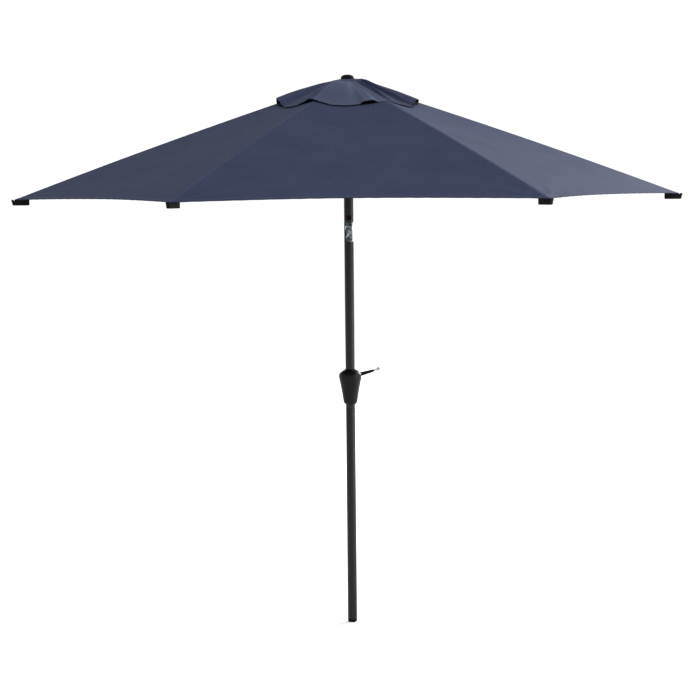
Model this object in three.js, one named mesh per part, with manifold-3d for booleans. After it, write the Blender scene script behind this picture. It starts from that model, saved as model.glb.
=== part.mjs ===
// A six-rib crank umbrella for a patio table or a floor stand, built as a scene graph of named meshes.
// Millimetres, +Z up. The origin is the centre of the pole's foot. Rib 1 points along +X, and the umbrella
// is modelled open and upright.
import * as THREE from "three";
import { mergeVertices } from "three/addons/utils/BufferGeometryUtils.js";
import Module from "manifold-3d";

const wasm = await Module();
wasm.setup();

// ---- Driving dimensions -------------------------------------------------------------------------------

const GAP = 0.3; // between two parts that touch
const TURN = Math.PI * 2;

const RIBS = 6;
const RIB_SLOPE = THREE.MathUtils.degToRad(19.3); // below level, open
const RIB_BOW = 9; // how far a rib bends up at the middle, under the canopy's pull
const RIB_W = 12;
const RIB_H = 14;
const RIB_WALL = 0.9;
const RIB_END_R = 1345; // from the pole's axis to the outer end of a rib cap

const PIVOT_R = 34; // rib and strut pivots stand this far from the pole's axis
const HUB_Z = 2167; // rib pivots
const STRUT_LENGTH = 530; // also the distance from a rib's pivot to its strut's
const STRUT_DROP = 19; // strut pivot below the rib's centre line
const STRUT_W = 9.6;
const STRUT_H = 12;
const EYE_R = 6.2;
const WIRE_R = 1.5; // ring wire that the ribs and struts hinge on

const POLE_R = 19;
const POLE_WALL = 1.4;
const FOOT_H = 12; // of the plug that shows below the tube
const FOOT_FLAT_R = 13;
const POLE_JOINT_Z = 870;
const SLEEVE_LENGTH = 70; // of the middle pole's narrowed end, inside the lower pole
const SNAP_Z = 850;
const SNAP_AZIMUTH = THREE.MathUtils.degToRad(-30);
const SNAP_R = 4;

const HOUSING_Z = 889;
const HOUSING_H = 142;
const HOUSING_WALL = 2.6;
const HOUSING_SCREW = [31, 973]; // distance from the middle, and height
const CRANK_Z = 993;
const SHAFT_R = 5;
const SHAFT_LOW = -33.5; // its front end, short of the housing's front wall
const DRUM_R = 11;
const ARM_LENGTH = 121; // shaft to knob
const ARM_ANGLE = THREE.MathUtils.degToRad(15.4);
const ARM_Y = [50, 58]; // the arm's two faces, behind the housing

const TILT_GAP = [1543, 1625]; // the open stretch of the pole at the tilt joint
const TILT_Z = 1588;
const CHEEK_R = 14.5;
const CHEEK_INNER = 11;
const SPINE_X = -14; // what is left of the tube's wall across the gap lies beyond this
const BUTTON_Z = 1641;
const BUTTON_R = 10;

const RUNNER_BORE_R = 23.5;
const RUNNER_R = 45;
const HUB_R = 46;
const SLOT_W = 13;
const PULLEY_R = 9;
const PULLEY_X = 8;
const PULLEY_Z = 2122;

const CLOTH = 1.5;
const CLOTH_LIFT = 10.8; // underside of the canopy above the rib's centre line
const CANOPY_INNER_R = 165; // of the top opening, at a rib
const CANOPY_END_R = 1333;
const HEM_CUT = 22; // how far the hem curves in at the middle of a panel
const VENT_R = 285;
const VENT_APEX_Z = 2198.5; // where its ridges would meet
const VENT_CLAMP_R = 30; // it lies flat inside this, under the finial
const VENT_DROP = 88.5; // from the apex to the edge, at a rib
const VENT_SAG = 21.5; // how much lower the edge lies at the middle of a panel
const VENT_BULGE = 6;
const FINIAL_R = 27;
const FINIAL_Z = [2192, 2211];

// ---- Finishes -----------------------------------------------------------------------------------------

function finish(color, roughness, metalness) {
  return new THREE.MeshStandardMaterial({ color, roughness, metalness });
}

const canopyCloth = finish(0x454b64, 0.85, 0);
const powderCoat = finish(0x2f2d33, 0.45, 0.3);
const blackNylon = finish(0x0e0e12, 0.55, 0);
const zincSteel = finish(0x7d8582, 0.4, 1);
const chrome = finish(0xd8dadc, 0.15, 1);
const housingPlastic = finish(0x26252b, 0.5, 0);

// ---- Geometry helpers ---------------------------------------------------------------------------------

// A closed geometry as a solid that can be cut and joined.
function solid(geometry) {
  const bare = geometry.index ? geometry.toNonIndexed() : geometry.clone();
  bare.deleteAttribute("normal");
  bare.deleteAttribute("uv");
  const merged = mergeVertices(bare, 1e-3);
  return new wasm.Manifold(
    new wasm.Mesh({
      numProp: 3,
      vertProperties: merged.attributes.position.array,
      triVerts: new Uint32Array(merged.index.array),
    }),
  );
}

function geometryOf(made) {
  const mesh = made.getMesh();
  const geometry = new THREE.BufferGeometry();
  geometry.setAttribute("position", new THREE.BufferAttribute(new Float32Array(mesh.vertProperties), 3));
  geometry.setIndex(new THREE.BufferAttribute(new Uint32Array(mesh.triVerts), 1));
  return geometry;
}

// A body of revolution about Z from its outline of [radius, height] points, taken anticlockwise.
function turned(outline, segments = 24) {
  const points = outline.map(([r, z]) => new THREE.Vector2(r, z));
  return new THREE.LatheGeometry(points, segments).rotateX(Math.PI / 2);
}

// A tube about Z, between two heights.
function tube(outer, inner, low, high, segments = 24) {
  return turned([[inner, low], [outer, low], [outer, high], [inner, high], [inner, low]], segments);
}

// A rod about Z, between two heights.
function rod(radius, low, high, segments = 16) {
  return turned([[0, low], [radius, low], [radius, high], [0, high]], segments);
}

// Turns a body of revolution so that its axis, +Z, points along +Y.
function alongY(geometry) {
  return geometry.rotateX(-Math.PI / 2);
}

function box(low, high) {
  const size = high.map((v, i) => v - low[i]);
  const middle = high.map((v, i) => (v + low[i]) / 2);
  return new THREE.BoxGeometry(...size).translate(...middle);
}

// A flat outline of [x, z] points, given thickness from y = low to y = high.
function plate(shape, low, high, curveSegments = 4) {
  const options = { depth: high - low, bevelEnabled: false, curveSegments };
  return new THREE.ExtrudeGeometry(shape, options).rotateX(Math.PI / 2).translate(0, high, 0);
}

function outlineOf(points) {
  return new THREE.Shape(points.map(([x, z]) => new THREE.Vector2(x, z)));
}

// A bar with two round ends, from one centre to another, in the XZ plane.
function linkOutline([x0, z0], r0, [x1, z1], r1) {
  const along = Math.atan2(z1 - z0, x1 - x0);
  const shape = new THREE.Shape();
  shape.absarc(x0, z0, r0, along + Math.PI / 2, along - Math.PI / 2, false);
  shape.absarc(x1, z1, r1, along - Math.PI / 2, along + Math.PI / 2, false);
  return shape;
}

function ovalOutline(width, height, corner) {
  const w = width / 2;
  const h = height / 2;
  const shape = new THREE.Shape();
  shape.absarc(w - corner, h - corner, corner, 0, TURN / 4, false);
  shape.absarc(corner - w, h - corner, corner, TURN / 4, TURN / 2, false);
  shape.absarc(corner - w, corner - h, corner, TURN / 2, TURN * 0.75, false);
  shape.absarc(w - corner, corner - h, corner, TURN * 0.75, TURN, false);
  shape.closePath();
  return shape;
}

// A closed sheet between an under side and an upper side, from a grid of points.
// point(i, j, up) gives the place on the upper or the under side; around joins the last column to the first.
function sheet(columns, rows, around, point) {
  const positions = [];
  const faces = [];
  const across = around ? columns : columns + 1;
  const index = (i, j, up) => ((i % across) * (rows + 1) + j) * 2 + (up ? 1 : 0);
  const quad = (a, b, c, d) => faces.push(a, b, c, a, c, d);
  for (let i = 0; i < across; i++) {
    for (let j = 0; j <= rows; j++) {
      positions.push(...point(i, j, false), ...point(i, j, true));
    }
  }
  for (let i = 0; i < columns; i++) {
    for (let j = 0; j < rows; j++) {
      quad(index(i, j, true), index(i, j + 1, true), index(i + 1, j + 1, true), index(i + 1, j, true));
      quad(index(i, j, false), index(i + 1, j, false), index(i + 1, j + 1, false), index(i, j + 1, false));
    }
    quad(index(i, 0, false), index(i, 0, true), index(i + 1, 0, true), index(i + 1, 0, false));
    quad(index(i, rows, false), index(i + 1, rows, false), index(i + 1, rows, true), index(i, rows, true));
  }
  for (let j = 0; j < rows && !around; j++) {
    const last = columns;
    quad(index(0, j, false), index(0, j + 1, false), index(0, j + 1, true), index(0, j, true));
    quad(index(last, j, false), index(last, j, true), index(last, j + 1, true), index(last, j + 1, false));
  }
  const geometry = new THREE.BufferGeometry();
  geometry.setAttribute("position", new THREE.Float32BufferAttribute(positions, 3));
  geometry.setIndex(faces);
  return geometry;
}

const umbrella = new THREE.Group();

function add(name, shape, material, group = umbrella) {
  const mesh = new THREE.Mesh(shape.isBufferGeometry ? shape : geometryOf(shape), material);
  mesh.name = name;
  group.add(mesh);
  return mesh;
}

// ---- The rib line that the canopy, the struts and the caps follow --------------------------------------

const RIB_LENGTH = (RIB_END_R - PIVOT_R) / Math.cos(RIB_SLOPE);
const ribAlong = [Math.cos(RIB_SLOPE), -Math.sin(RIB_SLOPE)];
const ribUp = [Math.sin(RIB_SLOPE), Math.cos(RIB_SLOPE)];

// The [radius, height] of a point a distance s along the rib's chord and n above its bent centre line.
function onRib(s, n = 0) {
  const t = s / RIB_LENGTH;
  const lift = 4 * RIB_BOW * t * (1 - t) + n;
  return [PIVOT_R + ribAlong[0] * s + ribUp[0] * lift, HUB_Z + ribAlong[1] * s + ribUp[1] * lift];
}

// How far along the rib a radius is, to the nearest fraction of a millimetre.
function alongRib(radius, n = 0) {
  let s = (radius - PIVOT_R) / ribAlong[0];
  for (let i = 0; i < 4; i++) {
    s += (radius - onRib(s, n)[0]) / ribAlong[0];
  }
  return s;
}

// The stretch of the rib's curve from s0 to s1, as a curve in the XZ plane.
function ribCurve(s0, s1) {
  const place = ([r, z]) => new THREE.Vector3(r, 0, z);
  const start = place(onRib(s0));
  const end = place(onRib(s1));
  const middle = place(onRib((s0 + s1) / 2));
  const control = middle.multiplyScalar(2).sub(start.clone().add(end).multiplyScalar(0.5));
  return new THREE.QuadraticBezierCurve3(start, control, end);
}

// ---- Poles --------------------------------------------------------------------------------------------

const TUBE_INNER = POLE_R - POLE_WALL;
const SLIP_R = TUBE_INNER - GAP; // of what is pushed into a tube

function snapHole(radius) {
  const reach = POLE_R + 6;
  return solid(rod(radius, 0, reach, 12).rotateY(TURN / 4).rotateZ(SNAP_AZIMUTH).translate(0, 0, SNAP_Z));
}

function crankHole(radius) {
  return solid(alongY(rod(radius, -POLE_R - 3, POLE_R + 3)).translate(0, 0, CRANK_Z));
}

function addPoles() {
  add(
    "foot_plug",
    turned([
      [0, 0], [FOOT_FLAT_R, 0], [POLE_R - 2.5, 2], [POLE_R - 0.6, 6], [POLE_R, FOOT_H],
      [SLIP_R, FOOT_H], [SLIP_R, FOOT_H + 26], [SLIP_R - 2, FOOT_H + 30], [0, FOOT_H + 30],
    ]),
    blackNylon,
  );
  const lower = solid(tube(POLE_R, TUBE_INNER, FOOT_H + GAP, POLE_JOINT_Z));
  add("lower_pole", lower.subtract(snapHole(SNAP_R + 0.6)), powderCoat);

  const shoulder = POLE_JOINT_Z + GAP;
  const sleeveLow = POLE_JOINT_Z - SLEEVE_LENGTH;
  const spineTop = TILT_GAP[1] - 1;
  const middle = solid(
    turned([
      [SLIP_R - POLE_WALL, sleeveLow], [SLIP_R, sleeveLow], [SLIP_R, shoulder], [POLE_R, shoulder],
      [POLE_R, spineTop], [TUBE_INNER, spineTop], [TUBE_INNER, shoulder + 8],
      [SLIP_R - POLE_WALL, shoulder + 4], [SLIP_R - POLE_WALL, sleeveLow],
    ]),
  );
  const notch = solid(box([SPINE_X, -POLE_R - 1, TILT_GAP[0]], [POLE_R + 1, POLE_R + 1, spineTop + 1]));
  const pierced = middle.subtract(notch).subtract(snapHole(SNAP_R + 0.6)).subtract(crankHole(SHAFT_R + 1.5));
  add("middle_pole", pierced, powderCoat);

  const upper = solid(tube(POLE_R, TUBE_INNER, TILT_GAP[1] + GAP, HUB_Z - 16.5));
  const buttonHole = solid(alongY(rod(BUTTON_R + 0.6, -POLE_R - 3, -8)).translate(0, 0, BUTTON_Z));
  const cordExit = solid(box([POLE_R - 6, -5, PULLEY_Z - 14], [POLE_R + 2, 5, PULLEY_Z + 8]));
  add("upper_pole", upper.subtract(buttonHole).subtract(cordExit), powderCoat);
}

// The spring button that locks the lower pole to the middle one, and the leaf spring behind it.
function addSnapButton() {
  const group = new THREE.Group();
  group.rotation.z = SNAP_AZIMUTH;
  group.position.z = SNAP_Z;
  umbrella.add(group);
  const reach = POLE_R + 2.5;
  const flange = SLIP_R - POLE_WALL - 1.2;
  const button = turned(
    [[0, flange - 2.5], [SNAP_R + 2, flange - 2.5], [SNAP_R + 2, flange - 0.6], [SNAP_R, flange - 0.6],
      [SNAP_R, reach - 1], [SNAP_R - 1.2, reach], [0, reach]],
    14,
  );
  add("snap_button", button.rotateY(TURN / 4), zincSteel, group);
  const outer = flange - 2.5 - GAP;
  const bend = -30;
  const leaf = outlineOf([
    [outer - 1, 8], [outer, 8], [outer, -8], [1, bend], [-1, bend], [-flange + 0.6, 8], [-flange + 1.6, 8],
    [0, bend + 4], [outer - 1, -7],
  ]);
  add("snap_spring", plate(leaf, -4, 4), zincSteel, group);
}

// ---- Crank housing, crank and drum ---------------------------------------------------------------------

// The housing's outside, as [radius, height] points from the bottom up.
const HOUSING_OUTLINE = [
  [POLE_R + GAP, 0], [POLE_R + 2, 0], [27.5, 9], [29.2, 17], [33.5, 45], [39.5, 78], [44.6, 103],
  [45.8, 112], [45.4, 120], [42.6, 126], [36, 132.5], [24.5, 139.5], [POLE_R + 1.8, HOUSING_H],
  [POLE_R + GAP, HOUSING_H],
];

function addHousing() {
  const raised = (outline) => outline.map(([r, z]) => [r, z + HOUSING_Z]);
  const outside = raised(HOUSING_OUTLINE);
  const whole = solid(turned([...outside, outside[0]], 24));
  const hollow = HOUSING_OUTLINE.filter(([r]) => r > 25).map(([r, z]) => {
    const inward = z > 125 ? 3 : 0;
    return [r - HOUSING_WALL - inward * 0.4, z - inward];
  });
  const inner = POLE_R - 4;
  const cavity = raised([[inner, hollow[0][1]], ...hollow, [inner, hollow.at(-1)[1]], [inner, hollow[0][1]]]);
  const filled = solid(turned([[0, HOUSING_Z], ...outside.slice(1, -1), [0, HOUSING_Z + HOUSING_H]], 24));
  const pole = solid(rod(POLE_R + GAP, HOUSING_Z - 1, HOUSING_Z + HOUSING_H + 1, 24));
  const [screwX, screwZ] = HOUSING_SCREW;
  let bosses = solid(alongY(rod(10, -60, 60, 20)).translate(0, 0, CRANK_Z));
  let bores = solid(alongY(rod(SHAFT_R + 0.4, -34, 60)).translate(0, 0, CRANK_Z));
  for (const side of [-1, 1]) {
    const place = (geometry) => solid(alongY(geometry).translate(side * screwX, 0, screwZ));
    bosses = bosses.add(place(rod(5, -60, 60, 12)));
    bores = bores.add(place(rod(2.1, -17, 30, 10))).add(place(rod(4.2, 17, 60, 12)));
  }
  const shell = whole.subtract(solid(turned(cavity, 24))).add(bosses.intersect(filled).subtract(pole));
  const collar = solid(alongY(rod(10, 30, 47.5, 20)).translate(0, 0, CRANK_Z));
  const bored = shell.add(collar).subtract(bores);
  const cut = 70;
  const half = (low, high) => solid(box([-cut, low, HOUSING_Z - 5], [cut, high, HOUSING_Z + HOUSING_H + 5]));
  add("housing_front", bored.intersect(half(-cut, -GAP / 2)), housingPlastic);
  add("housing_rear", bored.intersect(half(GAP / 2, cut)), housingPlastic);
  for (const side of [-1, 1]) {
    const screw = turned([[0, -15], [1.8, -15], [1.8, 17.3], [3.9, 17.3], [3.9, 19], [2.6, 20], [0, 20]], 10);
    const name = side < 0 ? "housing_screw_left" : "housing_screw_right";
    add(name, alongY(screw).translate(side * screwX, 0, screwZ), zincSteel);
  }
}

function addCrank() {
  const group = new THREE.Group();
  group.position.z = CRANK_Z;
  umbrella.add(group);
  const drumHalf = 12;
  add(
    "crank_shaft",
    alongY(
      turned([
        [0, SHAFT_LOW], [SHAFT_R, SHAFT_LOW], [SHAFT_R, ARM_Y[1] + 2.4], [3, ARM_Y[1] + 3.4],
        [0, ARM_Y[1] + 3.4],
      ], 16),
    ),
    zincSteel,
    group,
  );
  const bore = SHAFT_R + GAP;
  const flange = DRUM_R + 1.5;
  add(
    "cord_drum",
    alongY(
      turned([
        [bore, -drumHalf], [flange, -drumHalf], [flange, 2 - drumHalf], [DRUM_R - 3, 3 - drumHalf],
        [DRUM_R - 3, drumHalf - 3], [flange, drumHalf - 2], [flange, drumHalf], [bore, drumHalf],
        [bore, -drumHalf],
      ], 20),
    ),
    blackNylon,
    group,
  );

  const arm = new THREE.Group();
  arm.rotation.y = -ARM_ANGLE;
  group.add(arm);
  const [near, far] = ARM_Y;
  const bar = linkOutline([0, 0], 9, [60, 0], 4);
  const blank = solid(plate(bar, near, far))
    .add(solid(plate(linkOutline([50, 0], 4, [ARM_LENGTH - 6, 0], 3.6), near, far)))
    .add(solid(plate(linkOutline([ARM_LENGTH, 0], 7.5, [ARM_LENGTH + 0.5, 0], 7.5), near, far)));
  const holes = solid(alongY(rod(SHAFT_R + GAP, 0, 80))).add(
    solid(alongY(rod(3.3, 0, 80, 12)).translate(ARM_LENGTH, 0, 0)),
  );
  add("crank_arm", blank.subtract(holes), chrome, arm);

  // The sleeve is a tapered grip with a slot for the arm's bar.
  const grip = solid(plate(linkOutline([40, 0], 8.4, [96, 0], 4.9), near - 2, far + 2));
  const slot = solid(box([20, near - GAP, -4 - GAP], [ARM_LENGTH, far + GAP, 4 + GAP]));
  const shaftRoom = solid(plate(linkOutline([0, 0], 9 + GAP, [60, 0], 4 + GAP), near - GAP, far + GAP));
  add("crank_sleeve", grip.subtract(slot).subtract(shaftRoom), housingPlastic, arm);

  const pin = turned([[0, near - 2.8], [4.2, near - 2.8], [5, near - 1.8], [5, near - GAP], [2.8, near - GAP],
    [2.8, far + 38], [4, far + 38], [4, far + 39.5], [0, far + 39.5]], 14);
  add("knob_pin", alongY(pin).translate(ARM_LENGTH, 0, 0), chrome, arm);
  const knob = turned([[3.2, far + 0.6], [5.4, far + 0.6], [6.6, far + 6], [6.9, far + 19], [6.3, far + 31],
    [4.8, far + 36.5], [3.2, far + 37.5], [3.2, far + 0.6]], 18);
  add("crank_knob", alongY(knob).translate(ARM_LENGTH, 0, 0), chrome, arm);
}

// ---- Tilt joint ----------------------------------------------------------------------------------------

function addTiltJoint() {
  const outer = CHEEK_R;
  const [low, high] = TILT_GAP;
  const cheek = new THREE.Shape();
  cheek.moveTo(-CHEEK_R, low + GAP);
  cheek.lineTo(CHEEK_R - 0.5, low + GAP);
  cheek.lineTo(CHEEK_R - 0.5, TILT_Z);
  cheek.absarc(0, TILT_Z, CHEEK_R - 0.5, 0, Math.PI, false);
  cheek.lineTo(-CHEEK_R, TILT_Z);
  const clear = solid(box([SPINE_X + GAP, -20, low - 5], [20, 20, high])).intersect(
    solid(rod(POLE_R - 0.6, low - 5, high, 24)),
  );
  const cheeks = solid(plate(cheek, -outer, -CHEEK_INNER)).add(solid(plate(cheek, CHEEK_INNER, outer)));
  // Inside the tube it is a full plug, and above the tube's end it keeps clear of the spine.
  const inTube = solid(box([-20, -20, low - 41], [20, 20, low - 3]));
  const pastSpine = solid(box([SPINE_X + GAP, -20, low - 4], [20, 20, low + 4]));
  const floor = solid(rod(SLIP_R, low - 40, low + 3, 24)).intersect(inTube.add(pastSpine));
  const pinHole = (radius) => solid(alongY(rod(radius, -22, 22, 14)).translate(0, 0, TILT_Z));
  add("tilt_fork", cheeks.intersect(clear).add(floor).subtract(pinHole(3.8)), zincSteel);

  const tongueHalf = CHEEK_INNER - 0.5;
  const tongueR = 12;
  const tongue = new THREE.Shape();
  tongue.absarc(0, TILT_Z, tongueR, -Math.PI, 0, false);
  tongue.lineTo(tongueR, high - 8);
  tongue.lineTo(-tongueR, high - 8);
  const block = solid(box([SPINE_X + GAP, -outer, TILT_Z + 20], [CHEEK_R - 0.5, outer, high]));
  const shoulder = block.intersect(clear);
  const belowTube = solid(box([SPINE_X + GAP, -20, high - 6], [20, 20, high]));
  const inUpperTube = solid(box([-20, -20, high - 1 + GAP], [20, 20, high + 50]));
  const plug = solid(rod(SLIP_R, high - 5, high + 45, 24)).intersect(belowTube.add(inUpperTube));
  const pocket = solid(alongY(rod(BUTTON_R + 0.4, -30, -7.7, 18)).translate(0, 0, BUTTON_Z));
  const springRoom = solid(alongY(rod(5.5, -30, 8, 14)).translate(0, 0, BUTTON_Z));
  const body = solid(plate(tongue, -tongueHalf, tongueHalf)).add(shoulder).add(plug);
  add("tilt_tongue", body.subtract(pinHole(3.8)).subtract(pocket).subtract(springRoom), zincSteel);

  const pin = turned([[0, -17.2], [5.5, -17.2], [6, -16.4], [6, -outer - GAP], [3.5, -outer - GAP],
    [3.5, outer + GAP], [6, outer + GAP], [6, 16.4], [5.5, 17.2], [0, 17.2]], 16);
  add("tilt_pin", alongY(pin).translate(0, 0, TILT_Z), zincSteel);

  const proud = POLE_R + 3.4;
  const button = turned([[0, -proud], [BUTTON_R - 1.6, -proud], [BUTTON_R, -proud + 1.4], [BUTTON_R, -12],
    [4, -12], [4, -9], [0, -9]], 20);
  add("tilt_button", alongY(button).translate(0, 0, BUTTON_Z), blackNylon);
  add("tilt_spring", coil(4.7, 0.5, 4, -8.4, 7).rotateX(-TURN / 4).translate(0, 0, BUTTON_Z), zincSteel);
}

// A coil spring about Z, from one height to another.
function coil(radius, wire, turns, low, high) {
  class Helix extends THREE.Curve {
    getPoint(t, target = new THREE.Vector3()) {
      const a = t * turns * TURN;
      return target.set(radius * Math.cos(a), radius * Math.sin(a), low + wire + t * (high - low - 2 * wire));
    }
  }
  const section = new THREE.Shape();
  section.absarc(0, 0, wire, 0, TURN, false);
  const options = { steps: turns * 10, extrudePath: new Helix(), curveSegments: 3, bevelEnabled: false };
  return new THREE.ExtrudeGeometry(section, options);
}

// ---- Hub, pulley, finial and runner --------------------------------------------------------------------

// Six slots for the ends of the ribs or struts, as one cutter.
function slots(inner, low, high) {
  let cutter = null;
  for (let k = 0; k < RIBS; k++) {
    const notch = box([inner, -SLOT_W / 2, low], [inner + 40, SLOT_W / 2, high]);
    const slot = solid(notch.rotateZ((k * TURN) / RIBS));
    cutter = cutter ? cutter.add(slot) : slot;
  }
  return cutter;
}

function addHub() {
  const low = HUB_Z - 16;
  const grooveTop = HUB_Z + WIRE_R + 0.4;
  const outline = [
    [0, HUB_Z - 62], [SLIP_R, HUB_Z - 62], [SLIP_R, low], [PIVOT_R - 2, low], [PIVOT_R - 2, grooveTop],
    [PIVOT_R + 2, grooveTop], [PIVOT_R + 2, low], [HUB_R - 2, low], [HUB_R, low + 2], [HUB_R, HUB_Z + 7],
    [HUB_R - 3, HUB_Z + 9], [16, HUB_Z + 17], [6, HUB_Z + 20], [0, HUB_Z + 20],
  ];
  const sheaveSlot = solid(box([PULLEY_X - 11, -3.4, PULLEY_Z - 30], [POLE_R, 3.4, PULLEY_Z + 11]));
  const axleHole = solid(alongY(rod(2.4, -20, 20, 10)).translate(PULLEY_X, 0, PULLEY_Z));
  const hub = solid(turned(outline, 24)).subtract(slots(25, low - 1, HUB_Z + 7)).subtract(sheaveSlot);
  add("top_hub", hub.subtract(axleHole), blackNylon);

  const groove = [[PULLEY_R, -2.8], [PULLEY_R - 2, 0], [PULLEY_R, 2.8]];
  const sheave = turned([[2.5, -2.8], ...groove, [2.5, 2.8], [2.5, -2.8]], 18);
  add("pulley", alongY(sheave).translate(PULLEY_X, 0, PULLEY_Z), blackNylon);
  add("pulley_axle", alongY(rod(2, -14, 14, 10)).translate(PULLEY_X, 0, PULLEY_Z), zincSteel);

  const [base, top] = FINIAL_Z;
  add(
    "finial",
    turned([
      [0, HUB_Z + 20 + GAP], [4, HUB_Z + 20 + GAP], [4, base], [FINIAL_R - 6, base], [FINIAL_R, base + 4.5],
      [FINIAL_R - 0.5, base + 8.5], [FINIAL_R - 5, base + 14], [FINIAL_R - 14, base + 17.8], [0, top],
    ]),
    blackNylon,
  );
}

function wireRing(height) {
  const ring = [];
  for (let i = 0; i <= 6; i++) {
    const a = (i * TURN) / 6;
    ring.push([PIVOT_R + WIRE_R * Math.cos(a), height + WIRE_R * Math.sin(a)]);
  }
  return turned(ring, 24);
}

function addRunner(z) {
  const grooveTop = z + WIRE_R + 0.4;
  const skirt = RUNNER_BORE_R + 6;
  const outline = [
    [RUNNER_BORE_R, z - 36], [skirt - 1, z - 36], [skirt, z - 33], [skirt, z - 14], [PIVOT_R - 2, z - 9],
    [PIVOT_R - 2, grooveTop], [PIVOT_R + 2, grooveTop], [PIVOT_R + 2, z - 9], [RUNNER_R - 2, z - 9],
    [RUNNER_R, z - 7], [RUNNER_R, z + 8], [RUNNER_R - 3, z + 10], [RUNNER_BORE_R, z + 10],
    [RUNNER_BORE_R, z - 36],
  ];
  const strutSlots = slots(PIVOT_R - EYE_R - 0.6, z - 7.5, z + 11);
  add("runner", solid(turned(outline, 24)).subtract(strutSlots), blackNylon);
  add("runner_wire", wireRing(z), zincSteel);
}

// ---- Ribs, struts, brackets and caps -------------------------------------------------------------------

const strutTurn = Math.asin(STRUT_DROP / STRUT_LENGTH); // between the rib's chord and the line to its strut
const strutSlope = RIB_SLOPE + strutTurn;
const strutTop = [
  PIVOT_R + STRUT_LENGTH * Math.cos(strutSlope),
  HUB_Z - STRUT_LENGTH * Math.sin(strutSlope),
];
const RUNNER_Z = HUB_Z - 2 * STRUT_LENGTH * Math.sin(strutSlope);

// A point on the chord from a rib's pivot to its strut's, then n square to the rib, as [radius, height].
function fromStrutTop(along, up) {
  return [0, 1].map((i) => strutTop[i] + ribAlong[i] * along + ribUp[i] * up);
}

function ribTube(width, height, corner, wall, s0, s1) {
  const section = ovalOutline(width, height, corner);
  if (wall) {
    section.holes.push(ovalOutline(width - 2 * wall, height - 2 * wall, corner - wall));
  }
  const options = { steps: 4, extrudePath: ribCurve(s0, s1), curveSegments: 2, bevelEnabled: false };
  return new THREE.ExtrudeGeometry(section, options);
}

// A flat tongue with a round end at one centre, reaching towards another.
function eyeTongue([x0, z0], radius, [x1, z1], height, half) {
  const length = Math.hypot(x1 - x0, z1 - z0);
  const bar = box([0, -half, -height / 2], [length, half, height / 2]);
  bar.rotateY(Math.atan2(z0 - z1, x1 - x0)).translate(x0, 0, z0);
  return solid(alongY(rod(radius, -half, half, 12)).translate(x0, 0, z0)).add(solid(bar));
}

function addRib(group, number) {
  const capSeat = alongRib(RIB_END_R) - 16;
  const root = eyeTongue(onRib(0), 7, onRib(34), 9, RIB_W / 2 - 0.6);
  const eye = solid(alongY(rod(WIRE_R + 1.4, -20, 20, 8)).translate(PIVOT_R, 0, HUB_Z));
  const rib = solid(ribTube(RIB_W, RIB_H, 4.5, RIB_WALL, 16, capSeat)).add(root).subtract(eye);
  add(`rib_${number}`, rib, powderCoat, group);

  // The bracket's two ears straddle the rib and carry the strut's pin below it.
  const squareToRib = (points) => outlineOf(points.map(([along, up]) => fromStrutTop(along, up)));
  const ear = squareToRib([[17, 27], [17, 12], [7, -5], [0, -7.5], [-7, -5], [-17, 12], [-17, 27]]);
  const web = squareToRib([[-16, 12], [16, 12], [16, 10], [-16, 10]]);
  const inner = RIB_W / 2 + 0.4;
  const outer = inner + 1.8;
  const pin = alongY(rod(2.5, -outer - 1.6, outer + 1.6, 10)).translate(strutTop[0], 0, strutTop[1]);
  const bracket = solid(plate(ear, -outer, -inner))
    .add(solid(plate(ear, inner, outer)))
    .add(solid(plate(web, -outer + 0.2, outer - 0.2)))
    .subtract(solid(ribTube(RIB_W + 0.7, RIB_H + 0.7, 4.8, 0, 60, capSeat)))
    .add(solid(pin));
  add(`bracket_${number}`, bracket, blackNylon, group);
}

function addStrut(group, number) {
  const low = [PIVOT_R, RUNNER_Z];
  const at = (distance) => [
    strutTop[0] - distance * Math.cos(strutSlope),
    strutTop[1] - distance * Math.sin(strutSlope),
  ];
  const path = new THREE.LineCurve3(
    new THREE.Vector3(at(14)[0], 0, at(14)[1]),
    new THREE.Vector3(at(STRUT_LENGTH - 14)[0], 0, at(STRUT_LENGTH - 14)[1]),
  );
  const section = ovalOutline(STRUT_W + 1.2, STRUT_H, 4);
  section.holes.push(ovalOutline(STRUT_W - 0.6, STRUT_H - 1.8, 3.1));
  const options = { steps: 1, extrudePath: path, curveSegments: 2, bevelEnabled: false };
  const bar = new THREE.ExtrudeGeometry(section, options);
  const half = STRUT_W / 2;
  const top = eyeTongue(strutTop, EYE_R, at(34), 8, half);
  const foot = eyeTongue(low, EYE_R, at(STRUT_LENGTH - 34), 8, half);
  const pinHole = solid(alongY(rod(2.9, -20, 20, 8)).translate(strutTop[0], 0, strutTop[1]));
  const wireHole = solid(alongY(rod(WIRE_R + 1.4, -20, 20, 8)).translate(low[0], 0, low[1]));
  const strut = solid(bar).add(top).add(foot).subtract(pinHole).subtract(wireHole);
  add(`strut_${number}`, strut, powderCoat, group);
}

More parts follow.
